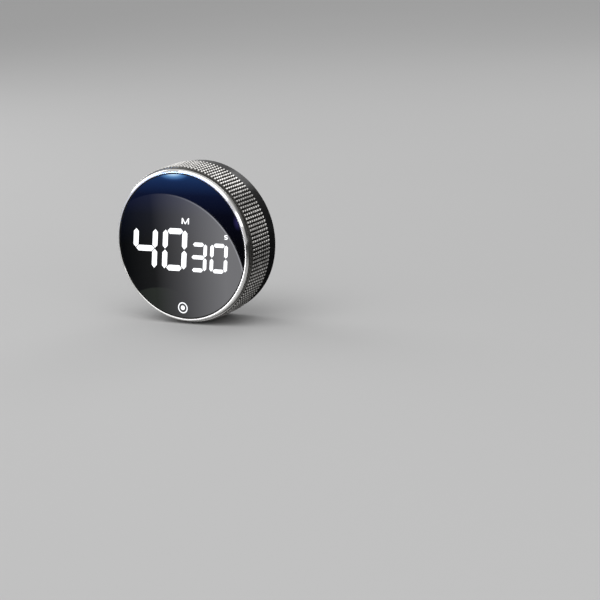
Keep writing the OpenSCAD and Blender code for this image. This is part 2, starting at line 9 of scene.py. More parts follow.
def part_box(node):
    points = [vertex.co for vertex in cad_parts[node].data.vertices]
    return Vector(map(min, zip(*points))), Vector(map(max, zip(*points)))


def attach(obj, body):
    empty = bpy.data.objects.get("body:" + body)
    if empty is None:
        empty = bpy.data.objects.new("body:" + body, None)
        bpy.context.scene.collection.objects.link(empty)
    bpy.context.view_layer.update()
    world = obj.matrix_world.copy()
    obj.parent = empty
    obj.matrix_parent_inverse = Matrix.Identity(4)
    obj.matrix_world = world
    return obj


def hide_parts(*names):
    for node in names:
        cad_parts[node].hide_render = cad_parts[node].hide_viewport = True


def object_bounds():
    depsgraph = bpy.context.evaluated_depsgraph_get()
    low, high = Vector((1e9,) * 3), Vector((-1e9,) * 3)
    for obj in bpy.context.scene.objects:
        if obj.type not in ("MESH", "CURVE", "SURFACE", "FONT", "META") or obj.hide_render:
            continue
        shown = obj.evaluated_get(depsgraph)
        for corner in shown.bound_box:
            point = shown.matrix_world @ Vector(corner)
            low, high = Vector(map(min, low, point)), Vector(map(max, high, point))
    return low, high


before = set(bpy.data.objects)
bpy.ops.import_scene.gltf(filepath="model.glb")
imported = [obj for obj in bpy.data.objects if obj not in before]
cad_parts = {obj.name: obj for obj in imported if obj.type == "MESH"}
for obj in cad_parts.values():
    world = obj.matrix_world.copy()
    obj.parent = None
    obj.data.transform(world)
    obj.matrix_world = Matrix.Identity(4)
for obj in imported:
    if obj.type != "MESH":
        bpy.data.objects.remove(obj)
cad_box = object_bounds()
scene = bpy.context.scene
MM = 0.001
WELD = 0.002 * MM

# Sizes that come from the frame
dial_low, dial_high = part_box("knurled_ring")
lens_low, lens_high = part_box("front_lens")
dial_r = dial_high.x
front_y = dial_low.y
dial_back_y = dial_high.y
lens_r = lens_high.x
floor_z = cad_box[0][2]

# Sizes of the dial's details, which are the part's own
knurls_round = 124
knurl_rows = 8
knurl_length = 16 * MM
knurl_height = 0.7 * MM
knurl_groove = 0.13 * MM
knurl_flank = 0.62 * MM
neck_drop = 1.2 * MM
groove_width = 0.6 * MM
groove_drop = 0.45 * MM
bevel_width = 0.5 * MM
shoulder_width = 0.5 * MM
shoulder_length = 1.1 * MM
lens_gap = 0.3 * MM
lip_length = 3.5 * MM
lip_break = 0.1 * MM
ring_wall = 2 * MM
lip_r = lens_r + lens_gap
bore_r = dial_r - ring_wall
bore_y = front_y + lip_length

# Marks stand on the glass as a thin layer that sinks into it a little
mark_front = lens_low.y - 0.04 * MM
mark_back = lens_low.y + 0.1 * MM
SLANT = math.tan(math.radians(7.5))


# ---- Camera ----

def place_camera():
    """Puts a long lens to the right of the face and a little above it, tipped by a few degrees."""
    azimuth = math.radians(30.61)
    elevation = math.radians(12.92)
    roll = math.radians(-3.63)
    distance = 1.124
    focal = 139.0
    sensor = 36.0
    aim = Vector((0.0577, 0, -0.026))
    back = Vector((math.sin(azimuth) * math.cos(elevation),
                   -math.cos(azimuth) * math.cos(elevation),
                   math.sin(elevation)))
    level_right = Vector((math.cos(azimuth), math.sin(azimuth), 0))
    level_up = back.cross(level_right)
    right = level_right * math.cos(roll) + level_up * math.sin(roll)
    up = level_up * math.cos(roll) - level_right * math.sin(roll)
    data = bpy.data.cameras.new("camera")
    data.lens = focal
    data.sensor_width = sensor
    camera = bpy.data.objects.new("camera", data)
    scene.collection.objects.link(camera)
    place = Vector((0, front_y, 0)) + back * distance + right * aim.x + up * aim.z
    turn = Matrix((right, up, back)).transposed().to_4x4()
    camera.matrix_world = Matrix.Translation(place) @ turn
    scene.camera = camera
    return place


camera_place = place_camera()


# ---- Making pieces ----

def stays_smooth(edge, smooth_angle):
    """Whether shading runs on over an edge: not at a corner, nor where a flat meets its small round."""
    if len(edge.link_faces) != 2:
        return False
    flat_share, flat_angle = 12, 0.5
    small, large = sorted(face.calc_area() for face in edge.link_faces)
    limit = flat_angle if large > flat_share * small else smooth_angle
    return edge.calc_face_angle(0) < math.radians(limit)


def piece(name, bm, finishes, body, stands_for=(), smooth_angle=35):
    """Turns a bmesh into a piece that rides on a body; edges over smooth_angle degrees stay crisp."""
    bmesh.ops.remove_doubles(bm, verts=bm.verts, dist=WELD)
    bmesh.ops.recalc_face_normals(bm, faces=bm.faces)
    for face in bm.faces:
        face.smooth = True
    for edge in bm.edges:
        edge.smooth = stays_smooth(edge, smooth_angle)
    mesh = bpy.data.meshes.new(name)
    bm.to_mesh(mesh)
    bm.free()
    for finish in finishes:
        mesh.materials.append(finish)
    thing = bpy.data.objects.new(name, mesh)
    scene.collection.objects.link(thing)
    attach(thing, body)
    if stands_for:
        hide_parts(*stands_for)


def turned(profile, steps, closed=True):
    """Spins an outline of (radius, y) points about the timer's axis, like work on a lathe."""
    bm = bmesh.new()
    verts = [bm.verts.new((r, y, 0)) for r, y in profile]
    pairs = list(zip(verts, verts[1:]))
    if closed:
        pairs.append((verts[-1], verts[0]))
    edges = [bm.edges.new(pair) for pair in pairs]
    bmesh.ops.spin(bm, geom=verts + edges, cent=(0, 0, 0), axis=(0, 1, 0),
                   angle=math.tau, steps=steps, use_merge=True)
    bmesh.ops.remove_doubles(bm, verts=bm.verts, dist=WELD)
    return bm


def bevel(bm, edges, width, segments):
    """Rounds the given edges, no further than their faces have room for."""
    bmesh.ops.bevel(bm, geom=edges, offset=width, offset_type="OFFSET", segments=segments,
                    profile=0.5, affect="EDGES", clamp_overlap=True, material=-1)


def round_edges(bm, width, segments):
    """Rounds over the sharp edges."""
    sharp = math.radians(30)
    bevel(bm, [e for e in bm.edges if len(e.link_faces) == 2 and e.calc_face_angle(0) > sharp],
          width, segments)


def thickened(bm, rise):
    """Gives a flat mark its thickness, by a copy that stands off along Y."""
    grown = bmesh.ops.extrude_face_region(bm, geom=bm.faces[:])
    moved = [part for part in grown["geom"] if isinstance(part, bmesh.types.BMVert)]
    bmesh.ops.translate(bm, verts=moved, vec=(0, rise, 0))


def copy_of(node):
    """A merged copy of a CAD node's mesh with its flat faces joined up."""
    bm = bmesh.new()
    bm.from_mesh(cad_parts[node].data)
    bmesh.ops.remove_doubles(bm, verts=bm.verts, dist=WELD)
    flat = math.radians(0.5)
    bmesh.ops.dissolve_limit(bm, angle_limit=flat, verts=bm.verts, edges=bm.edges)
    return bm


def softened(name, node, width, finish, body):
    """A CAD node's shape with its edges rounded over, standing for that node."""
    bm = copy_of(node)
    round_edges(bm, width, segments=2)
    piece(name, bm, [finish], body, [node])


# ---- Finishes ----

class Finish:
    """A material in the making: a shader and the nodes that feed it, read from the object's own place."""

    def __init__(self, name, **settings):
        self.material = bpy.data.materials.new(name)
        self.material.use_nodes = True
        self.tree = self.material.node_tree
        self.shader = self.tree.nodes["Principled BSDF"]
        self.place = self.tree.nodes.new("ShaderNodeTexCoord").outputs["Object"]
        self.bumps = None
        for socket, value in settings.items():
            self.shader.inputs[socket.replace("_", " ")].default_value = value

    def node(self, kind, inputs=None, **settings):
        made = self.tree.nodes.new("ShaderNode" + kind)
        for key, value in settings.items():
            setattr(made, key, value)
        for key, value in (inputs or {}).items():
            if isinstance(value, bpy.types.NodeSocket):
                self.tree.links.new(value, made.inputs[key])
            else:
                made.inputs[key].default_value = value
        return made

    def maths(self, operation, a, b=0.0):
        return self.node("Math", {0: a, 1: b}, operation=operation).outputs[0]

    def noise(self, scale, detail=3.0, roughness=0.55, place=None):
        return self.node("TexNoise", {"Vector": place or self.place, "Scale": scale,
                                      "Detail": detail, "Roughness": roughness}).outputs["Fac"]

    def ramp(self, value, *stops):
        """Colours at places from 0 to 1 along value."""
        made = self.node("ValToRGB", {"Fac": value})
        stretch = made.color_ramp.elements
        while len(stretch) < len(stops):
            stretch.new(0.5)
        for element, (where, colour) in zip(stretch, stops):
            element.position = where
            element.color = (*colour, 1)
        return made.outputs["Color"]

    def between(self, value, low, high, out_low, out_high):
        return self.node("MapRange", {"Value": value, "From Min": low, "From Max": high,
                                      "To Min": out_low, "To Max": out_high}).outputs["Result"]

    def mix(self, share, a, b, blend="MIX"):
        """Colour a, then b as share goes from 0 to 1."""
        first, second, result = 6, 7, 2
        return self.node("Mix", {0: share, first: a, second: b},
                         data_type="RGBA", blend_type=blend).outputs[result]

    def plus(self, a, b, share=1.0):
        return self.mix(share, a, b, "ADD")

    def distance(self, across, up, middle, spread=(1.0, 1.0)):
        """How far a point is from middle, with each axis measured in units of spread."""
        x = self.maths("DIVIDE", self.maths("SUBTRACT", across, middle[0]), spread[0])
        z = self.maths("DIVIDE", self.maths("SUBTRACT", up, middle[1]), spread[1])
        offset = self.node("CombineXYZ", {"X": x, "Y": z}).outputs[0]
        return self.node("VectorMath", {0: offset}, operation="LENGTH").outputs["Value"]

    def feed(self, socket, value):
        self.tree.links.new(value, self.shader.inputs[socket])

    def bump(self, height, depth, strength=1.0):
        """Adds a relief that is depth metres high."""
        inputs = {"Height": height, "Distance": depth, "Strength": strength}
        if self.bumps:
            inputs["Normal"] = self.bumps
        self.bumps = self.node("Bump", inputs).outputs["Normal"]
        self.feed("Normal", self.bumps)

    def lathe_place(self):
        """A place that only changes with the distance from the axis and along it, for turning marks."""
        split = self.node("SeparateXYZ", {0: self.place})
        flat = self.node("CombineXYZ", {"X": split.outputs["X"], "Z": split.outputs["Z"]}).outputs[0]
        radius = self.node("VectorMath", {0: flat}, operation="LENGTH").outputs["Value"]
        return radius, self.node("CombineXYZ", {"X": radius, "Y": split.outputs["Y"]}).outputs[0]


def moulded(name, dark, light, roughness, grain=2200.0, relief=0.008 * MM, **settings):
    """Moulded plastic: a fine spark-eroded grain, slightly cloudy colour and uneven gloss."""
    f = Finish(name, **settings)
    f.feed("Base Color", f.ramp(f.noise(90.0), (0.3, dark), (0.7, light)))
    f.feed("Roughness", f.between(f.noise(420.0), 0.3, 0.7, roughness - 0.06, roughness + 0.07))
    f.bump(f.noise(grain, 2.0), relief)
    return f.material


def brushed(name, dark, light, roughness, stretch=(1.0, 14.0, 1.0)):
    """Rolled or drawn metal with fine lines along one direction."""
    f = Finish(name, Metallic=1.0)
    place = f.node("Mapping", {"Vector": f.place, "Scale": stretch}).outputs[0]
    lines = f.noise(700.0, 4.0, 0.6, place)
    f.feed("Base Color", f.ramp(lines, (0.25, dark), (0.75, light)))
    f.feed("Roughness", f.between(lines, 0.2, 0.8, roughness - 0.08, roughness + 0.1))
    f.bump(lines, 0.003 * MM)
    return f.material


def turned_metal():
    """Satin gunmetal with turning marks round the neck."""
    f = Finish("satin_gunmetal", Metallic=1.0)
    marks = f.noise(9000.0, 2.0, 0.6, f.lathe_place()[1])
    f.feed("Base Color", f.ramp(f.noise(60.0), (0.3, (0.36, 0.355, 0.345)), (0.7, (0.46, 0.455, 0.44))))
    f.feed("Roughness", f.between(marks, 0.25, 0.75, 0.2, 0.36))
    f.bump(marks, 0.002 * MM)
    return f.material


def knurled_metal():
    """Knurled metal: painted shade darkens the grooves and a painted highlight brightens the tips, with a
    little random wear.
    """
    f = Finish("knurled_metal", Metallic=1.0)
    radius = f.lathe_place()[0]
    height = f.between(radius, dial_r - knurl_height, dial_r, 0.0, 1.0)
    painted_relief_light_and_wear = f.maths("ADD", height, f.between(f.noise(260.0), 0.3, 0.7, -0.12, 0.12))
    # the near-black groove colour is painted shade and the bright tip colour a painted highlight; the noise
    # adds random wear
    f.feed("Base Color", f.ramp(painted_relief_light_and_wear, (0.08, (0.014, 0.013, 0.012)), (0.45, (0.25, 0.245, 0.235)),
                                (0.9, (0.86, 0.845, 0.82))))
    f.feed("Roughness", f.between(painted_relief_light_and_wear, 0.0, 1.0, 0.42, 0.2))
    f.bump(f.noise(1800.0), 0.004 * MM)
    return f.material


def polished_metal():
    """The diamond-cut bevel round the face."""
    f = Finish("polished_bevel", Metallic=1.0)
    marks = f.noise(16000.0, 1.0, 0.5, f.lathe_place()[1])
    f.feed("Base Color", f.ramp(f.noise(50.0), (0.3, (0.88, 0.87, 0.85)), (0.7, (0.95, 0.945, 0.93))))
    f.feed("Roughness", f.between(marks, 0.3, 0.7, 0.07, 0.15))
    f.bump(marks, 0.0006 * MM)
    return f.material


def black_glass():
    """The printed back of a clear glass: deep black with a faint wiped film on its polished face."""
    f = Finish("black_glass", IOR=1.5)
    f.feed("Base Color", f.ramp(f.noise(30.0), (0.3, (0.0010, 0.0010, 0.0013)),
                                (0.7, (0.0016, 0.0017, 0.0021))))
    wiped = f.node("Mapping", {"Vector": f.place, "Scale": (1.0, 1.0, 4.0)}).outputs[0]
    f.feed("Roughness", f.between(f.noise(45.0, 5.0, 0.6, wiped), 0.35, 0.75, 0.005, 0.02))
    f.bump(f.noise(25.0, 1.0), 0.0015 * MM, 0.4)
    return f.material


def lit_resin(name, strength, tint):
    """A lit mark: even white light, a touch dimmer where the diffuser is thicker."""
    f = Finish(name, Roughness=0.3, Emission_Strength=strength)
    f.feed("Base Color", f.ramp(f.noise(200.0), (0.3, (0.75, 0.77, 0.8)), (0.7, (0.85, 0.87, 0.9))))
    dim = tuple(0.93 * c for c in tint)
    f.feed("Emission Color", f.ramp(f.noise(160.0), (0.35, dim), (0.65, tint)))
    return f.material


def rubber_pad():
    """Soft matt pad with a fine leathery skin."""
    f = Finish("pad_rubber", Specular_IOR_Level=0.35)
    f.feed("Base Color", f.ramp(f.noise(80.0), (0.3, (0.020, 0.020, 0.022)), (0.7, (0.034, 0.034, 0.037))))
    f.feed("Roughness", f.between(f.noise(300.0), 0.3, 0.7, 0.62, 0.82))
    cells = f.node("TexVoronoi", {"Vector": f.place, "Scale": 1500.0}).outputs["Distance"]
    f.bump(cells, 0.02 * MM)
    return f.material


def board_mask():
    """Green solder mask over faint copper tracks."""
    f = Finish("board_green", Coat_Weight=0.3)
    tracks = f.node("TexBrick", {"Vector": f.place, "Scale": 160.0, "Color1": (0.02, 0.16, 0.07, 1),
                                 "Color2": (0.025, 0.20, 0.085, 1), "Mortar": (0.015, 0.11, 0.05, 1)})
    f.feed("Base Color", tracks.outputs["Color"])
    f.feed("Roughness", f.between(f.noise(500.0), 0.3, 0.7, 0.28, 0.42))
    f.bump(tracks.outputs["Fac"], 0.01 * MM)
    return f.material


def cell_jacket(name, up):
    """Shrunk film on a dry cell, black and green with a thin line between; up is where its button points."""
    f = Finish(name, Roughness=0.28, Coat_Weight=0.4)
    black, line, green = (0.012, 0.013, 0.014), (0.75, 0.74, 0.70), (0.05, 0.26, 0.17)
    reach = 25 * MM * up
    height = f.node("SeparateXYZ", {0: f.place}).outputs["Z"]
    f.feed("Base Color", f.ramp(f.between(height, -reach, reach, 0.0, 1.0),
                                (0.0, black), (0.60, black), (0.602, line),
                                (0.618, line), (0.62, green), (1.0, green)))
    f.bump(f.noise(180.0), 0.01 * MM)
    return f.material


gunmetal = turned_metal()
knurled = knurled_metal()
polished = polished_metal()
glass_black = black_glass()
lamp_white = lit_resin("lit_digits", 1.0, (0.97, 0.985, 1.0))
touch_white = lit_resin("lit_touch_mark", 0.8, (0.95, 0.97, 1.0))
base_black = moulded("base_black", (0.005, 0.005, 0.0055), (0.009, 0.009, 0.010), 0.22, 1500.0, 0.003 * MM,
                     Specular_IOR_Level=0.2)
door_black = moulded("door_black", (0.013, 0.013, 0.014), (0.022, 0.022, 0.023), 0.44, 2600.0, 0.012 * MM)
rubber = rubber_pad()
steel = brushed("bright_steel", (0.48, 0.48, 0.49), (0.66, 0.66, 0.67), 0.3)
nickel = brushed("nickel_plate", (0.62, 0.60, 0.56), (0.78, 0.76, 0.71), 0.2, (3.0, 3.0, 3.0))
gold = brushed("gold_plate", (0.72, 0.52, 0.20), (0.86, 0.66, 0.30), 0.22, (2.0, 2.0, 2.0))
acetal = moulded("acetal_natural", (0.68, 0.66, 0.60), (0.78, 0.76, 0.70), 0.42)
black_part = moulded("black_nylon", (0.012, 0.012, 0.012), (0.022, 0.022, 0.022), 0.5)
frame_black = moulded("frame_black", (0.008, 0.008, 0.009), (0.014, 0.014, 0.015), 0.55)
white_part = moulded("white_reflector", (0.78, 0.79, 0.79), (0.88, 0.89, 0.89), 0.3)
film_white = moulded("diffuser_film", (0.74, 0.76, 0.78), (0.86, 0.87, 0.89), 0.6, 3000.0)
resin_grey = moulded("unlit_resin", (0.42, 0.43, 0.42), (0.56, 0.57, 0.55), 0.3)
lamp_yellow = moulded("lamp_resin", (0.75, 0.66, 0.20), (0.86, 0.77, 0.32), 0.25)
tape_black = moulded("tape_black", (0.010, 0.010, 0.010), (0.020, 0.020, 0.020), 0.7)
green_board = board_mask()
jackets = {1: cell_jacket("cell_jacket_up", 1), -1: cell_jacket("cell_jacket_down", -1)}
print_grey = moulded("print_grey", (0.30, 0.30, 0.30), (0.38, 0.38, 0.38), 0.55)

CAD_FINISHES = {
    "gear_carrier": acetal, "encoder_pinion": acetal, "encoder_shaft": steel, "lens_tape": tape_black,
    "display_frame": frame_black, "diffuser_film": film_white, "display_reflector": white_part,
    "dark_segments": resin_grey, "led_chips": lamp_yellow, "main_board": green_board,
    "control_chip": black_part, "touch_spring": gold, "encoder_case": black_part, "buzzer": black_part,
    "switch_case": steel, "switch_lever": acetal, "rear_housing": base_black, "magnets": nickel,
    "battery_contacts": nickel, "battery_springs": nickel, "frame_screws": steel,
}


def finish_cad_nodes():
    """Gives the CAD nodes that stay in view, or inside, their finishes."""
    for node, finish in CAD_FINISHES.items():
        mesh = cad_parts[node].data
        mesh.materials.clear()
        mesh.materials.append(finish)


# ---- Turning dial ----

def shoulder_arc(neck_r):
    """Points of the soft shoulder, from the neck to the bevel, bulging a little from a straight cone."""
    steps = 5
    turn = math.radians(50)
    points = []
    for i in range(steps + 1):
        angle = turn * i / steps
        drop = (1 - math.cos(angle)) / (1 - math.cos(turn)) * shoulder_width
        forward = math.sin(angle) / math.sin(turn) * shoulder_length
        points.append((neck_r - drop, front_y + bevel_width + shoulder_length - forward))
    return points


def make_dial():
    """The metal ring: polished bevel, satin neck, dark groove and a grip of small pyramids."""
    root_r = dial_r - knurl_height
    neck_r = dial_r - neck_drop
    grip_front = dial_back_y - knurl_length
    groove_front = grip_front - groove_width
    row = knurl_length / knurl_rows
    profile = [(root_r, dial_back_y - i * row) for i in range(knurl_rows + 1)]
    profile += [(neck_r - groove_drop, grip_front), (neck_r - groove_drop, groove_front),
                (neck_r, groove_front)]
    profile += shoulder_arc(neck_r)
    profile += [(neck_r - shoulder_width - bevel_width, front_y), (lip_r + lip_break, front_y),
                (lip_r, front_y + lip_break), (lip_r, bore_y), (bore_r, bore_y), (bore_r, dial_back_y)]
    bm = turned(profile, knurls_round)
    bmesh.ops.recalc_face_normals(bm, faces=bm.faces)
    grip = []
    chord_sag = 0.2 * MM
    satin, knurl, polish = range(3)
    for face in bm.faces:
        middle = face.calc_center_median()
        radius = math.hypot(middle.x, middle.z)
        face.material_index = satin
        if radius > root_r - chord_sag and middle.y > grip_front:
            face.material_index = knurl
            grip.append(face)
        elif middle.y < front_y + bevel_width + shoulder_length and radius > lip_r + lip_break / 4:
            face.material_index = polish
    for width, height in ((knurl_groove, 0), (knurl_flank, knurl_height)):
        bmesh.ops.inset_individual(bm, faces=grip, thickness=width, depth=height, use_even_offset=True)
    piece("dial_ring", bm, [gunmetal, knurled, polished], "dial",
          ["knurled_ring"], smooth_angle=20)


# ---- Face ----

def make_lens():
    """The black glass with its ground and polished edge."""
    steps = 192
    ground_edge = 0.3 * MM
    back_y, face_y = lens_high.y, lens_low.y
    bm = turned([(0, back_y), (lens_r, back_y), (lens_r, face_y), (0, face_y)], steps, closed=False)
    round_edges(bm, ground_edge, segments=4)
    piece("face_glass", bm, [glass_black], "housing", ["front_lens"])


def islands(bm):
    """The separate solids of a mesh, as lists of vertices."""
    left, found = set(bm.verts), []
    while left:
        stack, solid = [left.pop()], []
        while stack:
            vert = stack.pop()
            solid.append(vert)
            for edge in vert.link_edges:
                other = edge.other_vert(vert)
                if other in left:
                    left.remove(other)
                    stack.append(other)
        found.append(solid)
    return found


def flatten(bm):
    """Squeezes plates that stand behind the glass into a thin layer on its front."""
    middle = (min(v.co.y for v in bm.verts) + max(v.co.y for v in bm.verts)) / 2
    for vert in bm.verts:
        vert.co.y = mark_front if vert.co.y < middle else mark_back


def make_digits():
    """The lit strokes of the digits, and the two blocks that mark where M and S go."""
    bm = copy_of("lit_segments")
    block_corners = 8
    blocks = []
    for solid in islands(bm):
        if len(solid) == block_corners:
            low = Vector([min(v.co[i] for v in solid) for i in range(3)])
            high = Vector([max(v.co[i] for v in solid) for i in range(3)])
            blocks.append((low, high))
            bmesh.ops.delete(bm, geom=solid, context="VERTS")
    flatten(bm)
    corner = 0.1 * MM
    half_deep = (mark_back - mark_front) / 2
    upright = [e for e in bm.edges if abs(e.verts[0].co.y - e.verts[1].co.y) > half_deep]
    bevel(bm, upright, corner, segments=2)
    piece("lit_digits", bm, [lamp_white], "housing", ["lit_segments"])
    return sorted(blocks, key=lambda block: block[0].x)


def set_on_glass(name, bm, block):
    """Slants a flat mark drawn in X and Z round its own middle, puts it on its block and thickens it."""
    middle = (block[0] + block[1]) / 2
    for vert in bm.verts:
        vert.co = (middle.x + vert.co.x + vert.co.z * SLANT, mark_back, middle.z + vert.co.z)
    bmesh.ops.remove_doubles(bm, verts=bm.verts, dist=WELD)
    thickened(bm, mark_front - mark_back)
    piece(name, bm, [lamp_white], "housing")


def make_letter_m(block):
    """M for minutes: two stems and two slopes that meet at the foot."""
    width, height, stem = 4.2 * MM, 3.0 * MM, 0.62 * MM
    foot = 0.24 * MM
    inner_drop = 0.95 * MM
    lean = (width / 2 - foot - stem) / (height - inner_drop)
    notch = height - (width / 2 - stem) / lean
    half = [(0, notch), (stem - width / 2, height), (-width / 2, height), (-width / 2, 0),
            (stem - width / 2, 0), (stem - width / 2, height - inner_drop), (-foot, 0)]
    outline = half + [(-x, z) for x, z in reversed(half[1:])]
    bm = bmesh.new()
    bm.faces.new([bm.verts.new((x, 0, z - height / 2)) for x, z in outline])
    set_on_glass("letter_m", bm, block)


def make_letter_s(block):
    """S for seconds: two bows bent from one flat strip."""
    width, height, stroke = 2.1 * MM, 2.3 * MM, 0.42 * MM
    bow = (height - stroke) / 4
    sweep = math.radians(250)
    bm = bmesh.new()
    for side in (1, -1):
        strip = [bm.verts.new((0, 0, side * stroke / 2)), bm.verts.new((0, 0, -side * stroke / 2))]
        edge = bm.edges.new(strip)
        bmesh.ops.spin(bm, geom=strip + [edge], cent=(0, 0, side * bow), axis=(0, 1, 0),
                       angle=sweep, steps=20, use_merge=False)
    stretch = width / (2 * bow + stroke)
    bmesh.ops.scale(bm, verts=bm.verts, vec=(stretch, 1, 1))
    set_on_glass("letter_s", bm, block)


def make_touch_mark():
    """A ring with a dot in it, over the touch spring."""
    ring_r = 2.75 * MM
    line = 0.55 * MM
    dot_r = 1.15 * MM
    off_spring = Vector((-0.3 * MM, 0, -2.6 * MM))
    low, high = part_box("touch_spring")
    middle = (low + high) / 2 + off_spring
    middle.y = 0
    ring = turned([(ring_r, mark_back), (ring_r, mark_front), (ring_r - line, mark_front),
                   (ring_r - line, mark_back)], 64)
    dot = turned([(0, mark_back), (dot_r, mark_back), (dot_r, mark_front), (0, mark_front)],
                 40, closed=False)
    for name, bm in (("touch_ring", ring), ("touch_dot", dot)):
        bmesh.ops.translate(bm, verts=bm.verts, vec=middle)
        piece(name, bm, [touch_white], "housing")


# ---- Base and back ----

def make_back():
    """The soft pad on the back, the battery door and the slide, with their edges eased."""
    softened("back_cushion", "back_pad", 0.15 * MM, rubber, "housing")
    softened("door_cover", "battery_door", 0.2 * MM, door_black, "door")
    softened("volume_slide", "volume_knob", 0.1 * MM, door_black, "volume_slider")


def printed(name, bm, x, z, body, surface_y):
    """Prints a flat mark drawn in X and Z on a surface of the back, half sunk in and half proud."""
    ink = 0.03 * MM
    bmesh.ops.translate(bm, verts=bm.verts, vec=(x, surface_y - ink, z))
    thickened(bm, 2 * ink)
    piece(name, bm, [print_grey], body)


def make_back_marks():
    """A small and a large dot, for soft and loud, beside the slide, and an arrow on the door."""
    slide_low, slide_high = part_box("volume_knob")
    slide = (slide_low + slide_high) / 2
    pad_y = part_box("back_pad")[1].y
    beside = 7.6 * MM
    for name, x, radius in (("soft_dot", beside, 0.45 * MM), ("loud_dot", -beside, 0.9 * MM)):
        bm = bmesh.new()
        bmesh.ops.create_circle(bm, cap_ends=True, segments=32, radius=radius,
                                matrix=Matrix.Rotation(math.radians(90), 4, "X"))
        printed(name, bm, slide.x + x, slide.z, "housing", pad_y)
    door_low, door_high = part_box("battery_door")
    half = 1.5 * MM
    below_latch = 13 * MM
    corners = ((-half, 0, -half), (half, 0, -half), (0, 0, half))
    bm = bmesh.new()
    bm.faces.new([bm.verts.new(corner) for corner in corners])
    printed("door_arrow", bm, (door_low.x + door_high.x) / 2, door_high.z - below_latch,
            "door", door_high.y)


def make_cell(name, node, up):
    """A dry cell: film jacket with rolled ends, crimped can and a button that points up or down."""
    low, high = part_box(node)
    middle = (low + high) / 2
    r = (high.x - low.x) / 2
    half = (high.z - low.z) / 2
    button_r = 1.8 * MM
    button_l = 0.9 * MM
    button_edge = 0.15 * MM
    film_edge = 0.5 * MM
    film_round = 0.1 * MM
    crimp_out, crimp_in, crimp_deep = r - 0.6 * MM, r - 0.9 * MM, 0.3 * MM
    foot_out, foot_in = r - 1.4 * MM, r - 1.6 * MM
    step_out = button_r + 0.6 * MM
    metal_r = r - 0.7 * MM
    shoulder = half - button_l
    profile = [(0, -half), (foot_in, -half), (foot_out, -half + crimp_deep),
               (crimp_in, -half + crimp_deep), (crimp_out, -half), (r - film_round, -half + film_round),
               (r, -half + film_edge), (r, shoulder - film_edge), (r - film_round, shoulder - film_round),
               (crimp_out, shoulder), (crimp_in, shoulder - crimp_deep),
               (step_out, shoulder - crimp_deep), (button_r, shoulder - film_round),
               (button_r, half - button_edge), (button_r - button_edge, half), (0, half)]
    bm = turned(profile, 48, closed=False)
    film, metal = range(2)
    for face in bm.faces:
        at = face.calc_center_median()
        face.material_index = metal if math.hypot(at.x, at.z) < metal_r else film
    bmesh.ops.rotate(bm, verts=bm.verts, cent=(0, 0, 0),
                     matrix=Matrix.Rotation(math.radians(90 * up), 3, "X"))
    bmesh.ops.translate(bm, verts=bm.verts, vec=middle)
    piece(name, bm, [jackets[up], nickel], "housing", [node])


# ---- Floor and lights ----

def stage_piece(name, bm, finish):
    """Turns a bmesh into a part of the studio."""
    mesh = bpy.data.meshes.new(name)
    bm.to_mesh(mesh)
    bm.free()
    mesh.materials.append(finish)
    thing = bpy.data.objects.new(name, mesh)
    scene.collection.objects.link(thing)
    return thing


def stage_sheet(name, x0, x1, y0, y1, finish, z=floor_z):
    """A level sheet between x0 and x1 and between y0 and y1."""
    bm = bmesh.new()
    bmesh.ops.create_grid(bm, x_segments=1, y_segments=1, size=0.5)
    bmesh.ops.scale(bm, verts=bm.verts, vec=(x1 - x0, y1 - y0, 1))
    bmesh.ops.translate(bm, verts=bm.verts, vec=((x0 + x1) / 2, (y0 + y1) / 2, z))
    return stage_piece(name, bm, finish)


def glossy_only(thing):
    """Leaves a stage piece to be seen by gloss alone, not by the camera or in soft light."""
    for sight in ("camera", "diffuse", "shadow", "transmission", "volume_scatter"):
        setattr(thing, "visible_" + sight, False)


def make_floor():
    """A pale floor in two halves; the glass doesn't mirror the half in front of it."""
    f = Finish("pale_floor", Roughness=1.0, Specular_IOR_Level=0.0)
    f.feed("Base Color", f.ramp(f.noise(3.0), (0.3, (0.591, 0.591, 0.591)), (0.7, (0.6, 0.6, 0.6))))
    far = 6.0
    stage_sheet("floor_behind", -far, far, front_y, far, f.material)
    ahead = stage_sheet("floor_ahead", -far, far, -far, front_y, f.material)
    ahead.visible_glossy = False


def mirrored_in_face(x, z, ahead):
    """Where the camera's line to the point x, z of the glass goes, at a distance ahead of the glass."""
    away = front_y - camera_place.y
    share = (away + ahead) / away
    return camera_place.x + (x - camera_place.x) * share, camera_place.z + (z - camera_place.z) * share


def make_painted_mirror_image():
    """A card ahead of the glass, seen by gloss alone, whose glow is a painted reflection in the glass: a
    round grey board before a dark blue cloth, with a painted highlight above.
    """
    ahead = 0.3
    half = 60 * MM
    x0, z0 = mirrored_in_face(-half, -half, ahead)
    x1, z1 = mirrored_in_face(half, half, ahead)
    upright = Matrix.Rotation(math.radians(90), 3, "X")
    bm = bmesh.new()
    bmesh.ops.create_grid(bm, x_segments=1, y_segments=1, size=0.5)
    bmesh.ops.rotate(bm, verts=bm.verts, cent=(0, 0, 0), matrix=upright)
    bmesh.ops.scale(bm, verts=bm.verts, vec=(x1 - x0, 1, z1 - z0))
    card = stage_piece("mirror_image_card", bm, reflection_paint((x1 - x0) / (2 * half)))
    card.location = ((x0 + x1) / 2, front_y - ahead, (z0 + z1) / 2)
    glossy_only(card)


